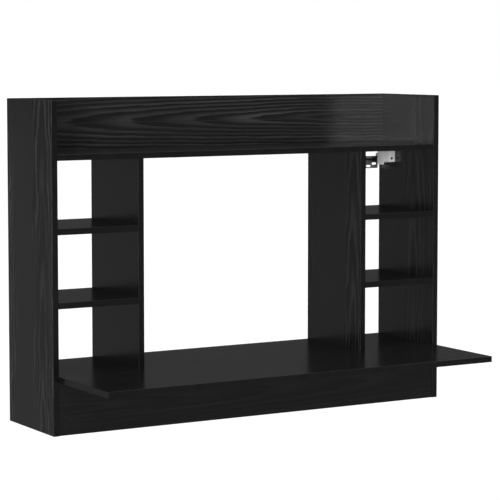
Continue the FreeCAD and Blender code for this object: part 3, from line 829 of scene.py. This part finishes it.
@dataclass
class Joinery:
    """Cam bolts, cam locks, dowels and the caps over the cams."""

    body: str = "carcass"
    cap_radius: float = 8.5 * MM
    cap_height: float = 0.8 * MM
    cap_squareness: float = 5.0
    cap_rows: int = 14
    cap_sharp: float = 60.0
    weld: float = 0.001 * MM

    def islands(self, node: str) -> list[tuple[Vector, Vector]]:
        """Boxes of the separate solids of a node.

        Args:
            node: The node's name.

        Returns:
            The lowest and highest corner of each solid.
        """
        copy = bmesh.new()
        copy.from_mesh(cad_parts[node].data)
        bmesh.ops.remove_doubles(copy, verts=copy.verts, dist=self.weld)
        left = set(copy.verts)
        boxes = []
        while left:
            found = [left.pop()]
            corners = []
            while found:
                vert = found.pop()
                corners.append(vert.co.copy())
                near = {edge.other_vert(vert) for edge in vert.link_edges} & left
                left -= near
                found.extend(near)
            boxes.append((Vector(map(min, zip(*corners))), Vector(map(max, zip(*corners)))))
        copy.free()
        return sorted(boxes, key=lambda box: tuple(round(part, 4) for part in box[0]))

    def cap_seats(self) -> list[Seat]:
        """Seats of the caps, on undersides and on the apron's back.

        Returns:
            One seat for each cap of the node.
        """
        seats = []
        for low, high in self.islands("cam_caps"):
            middle, size = (low + high) / 2, high - low
            faces_down = size.z < size.y
            outward = Vector((0.0, 0.0, -1.0)) if faces_down else Vector((0.0, 1.0, 0.0))
            seats.append(Seat(middle - outward * (min(size) / 2), outward))
        return seats

    def cap_tree(self, material: bpy.types.Material) -> FittingTree:
        """Tree of a round cap with soft rims.

        Args:
            material: The cap's material.

        Returns:
            The tree, with the sizes Radius and Height.
        """
        caps = FittingTree("cam_cap_tree")
        caps.size("Radius")
        caps.size("Height")
        source = caps.g.node("NodeGroupInput")
        disc = caps.rounded_disc(source.outputs["Radius"], source.outputs["Height"], self.cap_squareness,
                                 self.cap_rows)
        caps.finish(disc, source, material)
        return caps

    def build(self) -> None:
        """Makes the caps and dresses the fittings inside the boards."""
        plastic = MouldedPlastic("cap_black", colour=(0.010, 0.0095, 0.0095, 1.0),
                                 shade=(0.016, 0.015, 0.015, 1.0), roughness=0.45)
        caps = set_fittings("cam_cap_covers", self.cap_tree(plastic.material()), self.cap_seats(),
                            {"Radius": self.cap_radius, "Height": self.cap_height}, self.cap_sharp)
        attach(caps, self.body)
        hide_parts("cam_caps")

        zinc = PlatedSteel("cam_zinc", grey(0.52, 0.01), grey(0.38, 0.02), roughness=0.40, drawn=Axis.Z,
                           seed=1.0)
        bolt = PlatedSteel("cam_bolt_steel", grey(0.60, 0.01), grey(0.46, 0.02), roughness=0.32,
                           drawn=Axis.X, seed=2.0)
        dress(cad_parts["cam_locks"], zinc.material())
        dress(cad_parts["cam_bolts"], bolt.material())
        dress(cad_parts["dowels"], Beech().material())
        LOG.info("cam locks, cam bolts and dowels dressed")


# Hangers

@dataclass
class ScrewSizes:
    """Sizes of a cross-driven screw, in metres from the underside of its head."""

    head_radius: float
    head_height: float
    shank_radius: float
    shank_length: float
    pitch: float
    thread_depth: float
    collar_radius: float
    collar_start: float
    collar_length: float
    drive_span: float
    drive_width: float = 1.2 * MM
    drive_depth: float = 1.4 * MM

    def named(self) -> dict[str, float]:
        """The sizes under the names of the tree's inputs."""
        return {name.replace("_", " ").title(): value for name, value in vars(self).items()}


class ScrewTree(FittingTree):
    """Screws with a rounded head, a cross recess, a cut thread and a collar."""

    TURN_STEPS = 32
    ROWS_PER_PITCH = 6
    HEAD_SQUARENESS = 4.0
    HEAD_ROWS = 16
    COLLAR_SQUARENESS = 6.0
    COLLAR_ROWS = 10
    FLANK_SPAN = (0.15, 0.85)
    POINT_RATE = 18.0
    START_RATE = 400.0

    def __init__(self, name: str, sizes: ScrewSizes, material: bpy.types.Material) -> None:
        """Builds the tree.

        Args:
            name: The tree's name.
            sizes: Sizes near those of the screws, for the number of rows.
            material: The screws' material.
        """
        super().__init__(name)
        for size in sizes.named():
            self.size(size)
        source = self.g.node("NodeGroupInput")
        rows = int(sizes.shank_length / sizes.pitch * self.ROWS_PER_PITCH)
        join = self.g.node("GeometryNodeJoinGeometry")
        for part in (self.head(source), self.shank(source, rows), self.collar(source)):
            self.g.feed(join.inputs[0], part)
        self.finish(join.outputs[0], source, material)

    def head(self, source: bpy.types.Node) -> Socket:
        """The head, with its cross recess cut out.

        Args:
            source: The group's input node.

        Returns:
            The head's mesh.
        """
        g, sizes = self.g, source.outputs
        disc = self.rounded_disc(sizes["Head Radius"], sizes["Head Height"], self.HEAD_SQUARENESS,
                                 self.HEAD_ROWS)
        cut = g.node("GeometryNodeMeshBoolean", {"Mesh 1": disc}, operation="DIFFERENCE", solver="EXACT")
        for first, second in (("Drive Span", "Drive Width"), ("Drive Width", "Drive Span")):
            depth = g.product(sizes["Drive Depth"], 2.0)
            arm = g.node("GeometryNodeMeshCube", {"Size": g.vector(sizes[first], sizes[second], depth)})
            rise = g.vector(0.0, 0.0, sizes["Head Height"])
            raised = g.node("GeometryNodeTransform", {"Geometry": arm.outputs["Mesh"], "Translation": rise})
            g.feed(cut.inputs["Mesh 2"], raised.outputs["Geometry"])
        return cut.outputs["Mesh"]

    def shank(self, source: bpy.types.Node, rows: int) -> Socket:
        """The shank, with a right-hand thread cut into it and a pointed end.

        Args:
            source: The group's input node.
            rows: Steps along it.

        Returns:
            The shank's mesh.
        """
        g, sizes = self.g, source.outputs
        mesh, turn, share = self.turned(self.TURN_STEPS, rows)
        drop = g.product(share, sizes["Shank Length"])
        wave = g.math("FRACT", g.math("ADD", g.math("DIVIDE", drop, sizes["Pitch"]), turn))
        crest = g.math("ABSOLUTE", g.math("SUBTRACT", g.product(wave, 2.0), 1.0))
        cut = g.product(sizes["Thread Depth"], g.step(crest, self.FLANK_SPAN))
        point = g.math("MINIMUM", g.product(g.rest(share), self.POINT_RATE), 1.0)
        start = g.math("MINIMUM", g.product(share, self.START_RATE), 1.0)
        radius = g.product(g.math("SUBTRACT", sizes["Shank Radius"], cut), point, start)
        return self.placed(mesh, turn, radius, g.product(drop, -1.0))

    def collar(self, source: bpy.types.Node) -> Socket:
        """The collar that keeps the screw in its flange.

        Args:
            source: The group's input node.

        Returns:
            The collar's mesh.
        """
        g, sizes = self.g, source.outputs
        disc = self.rounded_disc(sizes["Collar Radius"], sizes["Collar Length"], self.COLLAR_SQUARENESS,
                                 self.COLLAR_ROWS)
        far = g.total(sizes["Collar Start"], sizes["Collar Length"])
        drop = g.vector(0.0, 0.0, g.product(far, -1.0))
        lowered = g.node("GeometryNodeTransform", {"Geometry": disc, "Translation": drop})
        return lowered.outputs["Geometry"]


@dataclass(frozen=True)
class Adjuster:
    """An adjusting screw of a hanger, whose head looks down its axis."""

    name: str
    axis: Axis
    head: float
    shank: float
    pitch: float
    thread: float
    collar_start: float


@dataclass
class Hanger:
    """One cabinet hanger: housing, cover, carriage, hook, wall plate and their screws."""

    side: Side
    fixing_head: float = 2.0 * MM
    fixing_shank: float = 2.0 * MM
    fixing_pitch: float = 1.6 * MM
    fixing_thread: float = 0.5 * MM
    fixing_collar: float = 0.5 * MM
    fixing_drive: float = 1.3
    depth: Adjuster = Adjuster("depth", Axis.Y, head=3.5 * MM, shank=3.0 * MM, pitch=1.0 * MM,
                               thread=0.5 * MM, collar_start=2.6 * MM)
    height: Adjuster = Adjuster("height", Axis.Z, head=3.0 * MM, shank=2.5 * MM, pitch=0.8 * MM,
                                thread=0.4 * MM, collar_start=3.6 * MM)
    adjuster_drive: float = 1.4
    collar_proud: float = 1.5 * MM
    collar_length: float = 1.5 * MM
    screw_sharp: float = 40.0

    def node(self, name: str) -> str:
        """A node's name on this side."""
        return f"{self.side.word}_{name}"

    def set_screws(self, name: str, node: str, body: str, seats: list[Seat], sizes: ScrewSizes,
                   material: bpy.types.Material) -> None:
        """Makes the screws of a node, which ride on its body in its place.

        Args:
            name: The piece's name without its side.
            node: The node that they replace.
            body: The body that they ride on.
            seats: Where they stand.
            sizes: Their sizes.
            material: Their material.
        """
        tree = ScrewTree(node + "_tree", sizes, material)
        piece = set_fittings(self.node(name), tree, seats, sizes.named(), self.screw_sharp)
        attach(piece, body)
        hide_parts(node)

    def fixing_screws(self, material: bpy.types.Material) -> None:
        """Makes the two screws that hold the housing on the side panel.

        Args:
            material: Their material.
        """
        node = self.node("hanger_screws")
        low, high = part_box(node)
        radius = (high.y - low.y) / 2
        inward = Vector((-self.side.value, 0.0, 0.0))
        near_x = high.x if self.side is Side.LEFT else low.x
        seat_x = near_x - inward.x * self.fixing_head
        levels = (low.z + radius, high.z - radius)
        seats = [Seat(Vector((seat_x, low.y + radius, level)), inward) for level in levels]
        sizes = ScrewSizes(head_radius=radius, head_height=self.fixing_head,
                           shank_radius=self.fixing_shank,
                           shank_length=high.x - low.x - self.fixing_head, pitch=self.fixing_pitch,
                           thread_depth=self.fixing_thread, collar_radius=self.fixing_shank,
                           collar_start=0.0, collar_length=self.fixing_collar,
                           drive_span=radius * self.fixing_drive)
        self.set_screws("fixing_screws", node, "carcass", seats, sizes, material)

    def adjusting_screw(self, screw: Adjuster, material: bpy.types.Material) -> None:
        """Makes the screw that draws the carriage along, or the one that lifts and lowers the hook.

        Args:
            screw: The screw.
            material: Its material.
        """
        node = self.node(screw.name + "_screw")
        low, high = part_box(node)
        along = screw.axis.value
        radius = (high.x - low.x) / 2
        point = low + Vector((radius, radius, radius))
        point[along] = low[along] + screw.head
        outward = Vector((0.0, 0.0, 0.0))
        outward[along] = -1.0
        sizes = ScrewSizes(head_radius=radius, head_height=screw.head, shank_radius=screw.shank,
                           shank_length=high[along] - low[along] - screw.head, pitch=screw.pitch,
                           thread_depth=screw.thread, collar_radius=screw.shank + self.collar_proud,
                           collar_start=screw.collar_start, collar_length=self.collar_length,
                           drive_span=radius * self.adjuster_drive)
        self.set_screws(screw.name + "_screw_threaded", node, self.node(screw.name + "_adjuster"),
                        [Seat(point, outward)], sizes, material)

    def dress(self) -> None:
        """Gives the sheet and cast pieces their materials."""
        seed = 10.0 + self.side.value
        finishes = {
            "hanger_cover": MouldedPlastic(self.node("cover_grey"), grey(0.90), grey(0.83), roughness=0.42,
                                           seed=seed),
            "hanger_housing": PlatedSteel(self.node("housing_steel"), grey(0.60), grey(0.45, 0.01),
                                          seed=seed),
            "hanger_carriage": PlatedSteel(self.node("carriage_steel"), grey(0.60), grey(0.42, 0.02),
                                           seed=seed + 1),
            "hanger_hook": PlatedSteel(self.node("hook_steel"), grey(0.66), grey(0.52, 0.01),
                                       roughness=0.40, metallic=0.6, seed=seed + 2),
            # Zinc darkened overall to paint the shade the plate sits in: partly its own tone, partly
            # painted shade
            "wall_plate": PlatedSteel(self.node("plate_zinc"), grey(0.30, 0.005), grey(0.21, 0.005),
                                      drawn=Axis.X, seed=seed + 3),
        }
        for name, finish in finishes.items():
            dress(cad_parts[self.node(name)], finish.material())
        LOG.info("%s hanger dressed", self.side.word)

    def build(self) -> None:
        """Makes the screws and dresses the rest."""
        zinc = PlatedSteel(self.node("screw_zinc"), grey(0.62), grey(0.48, 0.02), roughness=0.34,
                           drawn=Axis.Z, seed=20.0 + self.side.value).material()
        black = PlatedSteel(self.node("screw_black"), grey(0.045, 0.002), grey(0.03, 0.002), roughness=0.42,
                            drawn=Axis.Z, seed=22.0 + self.side.value).material()
        self.fixing_screws(zinc)
        self.adjusting_screw(self.depth, black)
        self.adjusting_screw(self.height, zinc)
        self.dress()


# Studio

@dataclass(frozen=True)
class Lamp:
    """A wide soft lamp, far away.

    level is what it adds to a white surface that faces it, and spread its width in degrees.
    """

    name: str
    towards: tuple[float, float, float]
    level: float
    spread: float

    def place(self) -> None:
        """Adds the lamp to the scene."""
        data = bpy.data.lights.new(self.name, "SUN")
        data.energy = self.level * math.pi
        data.angle = math.radians(self.spread)
        lamp = bpy.data.objects.new(self.name, data)
        lamp.rotation_mode = "QUATERNION"
        lamp.rotation_quaternion = Vector(self.towards).to_track_quat("-Z", "Y")
        bpy.context.scene.collection.objects.link(lamp)


@dataclass
class Studio:
    """Pale floor, soft lamps, a white surround and the camera of the photograph."""

    floor_level: float = -1.376
    floor_reach: float = 60.0
    floor_grey: float = 0.80
    dim_floor: float = 0.172
    camera_glow: float = 0.25
    horizon: float = 0.08
    zenith: float = 0.50
    sky_span: Span = (0.30, 0.95)
    lens: float = 148.79
    shift: float = -0.07
    sight: float = 200.0
    eye: tuple[float, float, float] = (-2.8276, -5.0104, 0.1941)
    yaw: float = 30.675
    pitch: float = 4.555
    lamps: tuple[Lamp, ...] = (
        Lamp("key_lamp", (0.40, 0.52, -0.75), level=0.45, spread=50.0),
        Lamp("fill_lamp", (0.62, 0.78, -0.05), level=0.60, spread=12.0),
        Lamp("top_lamp", (0.0, 0.0, -1.0), level=0.25, spread=70.0),
        Lamp("back_lamp", (-0.70, -0.20, -0.68), level=0.15, spread=40.0),
    )

    def floor(self) -> None:
        """Adds the floor: pale, dim in the desk's gloss, and white for the camera but for the shadow."""
        reach, level = self.floor_reach, self.floor_level
        mesh = bpy.data.meshes.new("studio_floor")
        mesh.from_pydata([(-reach, -reach, level), (reach, -reach, level), (reach, reach, level),
                          (-reach, reach, level)], [], [(0, 1, 2, 3)])
        floor = bpy.data.objects.new("studio_floor", mesh)
        bpy.context.scene.collection.objects.link(floor)
        material, g, shader = new_material("pale_floor")
        path = g.node("ShaderNodeLightPath")
        tone = g.blend(path.outputs["Is Glossy Ray"], grey(self.floor_grey), grey(self.dim_floor))
        g.feed(shader.inputs["Base Color"], tone)
        shader.inputs["Roughness"].default_value = 1.0
        shader.inputs["Specular IOR Level"].default_value = 0.0
        shader.inputs["Emission Color"].default_value = WHITE
        glow = g.product(path.outputs["Is Camera Ray"], self.camera_glow)
        g.feed(shader.inputs["Emission Strength"], glow)
        dress(floor, material)

    def world(self) -> None:
        """Makes the surround white for the camera, and for the desk a studio that is dim near the floor."""
        world = bpy.data.worlds.new("studio_world")
        world.use_nodes = True
        g = Graph(world.node_tree)
        path = g.node("ShaderNodeLightPath")
        seen = g.math("MAXIMUM", path.outputs["Is Camera Ray"], path.outputs["Is Transmission Ray"])
        height = g.split(g.node("ShaderNodeTexCoord").outputs["Generated"])[2]
        glow = g.step(height, self.sky_span, self.horizon, self.zenith)
        dim = g.vector(glow, glow, glow)
        backdrop = world.node_tree.nodes["Background"]
        g.feed(backdrop.inputs["Color"], g.blend(seen, dim, WHITE))
        bpy.context.scene.world = world

    def camera(self) -> None:
        """Adds the camera at the photograph's place."""
        data = bpy.data.cameras.new("camera")
        data.lens = self.lens
        data.shift_y = self.shift
        data.clip_end = self.sight
        camera = bpy.data.objects.new("camera", data)
        camera.location = self.eye
        camera.rotation_euler = (math.radians(90.0 - self.pitch), 0.0, math.radians(-self.yaw))
        bpy.context.scene.collection.objects.link(camera)
        bpy.context.scene.camera = camera

    def build(self) -> None:
        """Builds the studio."""
        self.camera()
        self.floor()
        self.world()
        for lamp in self.lamps:
            lamp.place()
        bpy.context.scene.view_settings.view_transform = "Standard"
        LOG.info("studio: floor, surround, %d lamps and camera", len(self.lamps))


def main() -> None:
    """Builds the studio, the boards, the cam fittings and both hangers."""
    logging.basicConfig(level=logging.INFO, format="%(message)s")
    Studio().build()
    Carcass().dress()
    Joinery().build()
    for side in Side:
        Hanger(side).build()


if __name__ == "__main__":
    main()
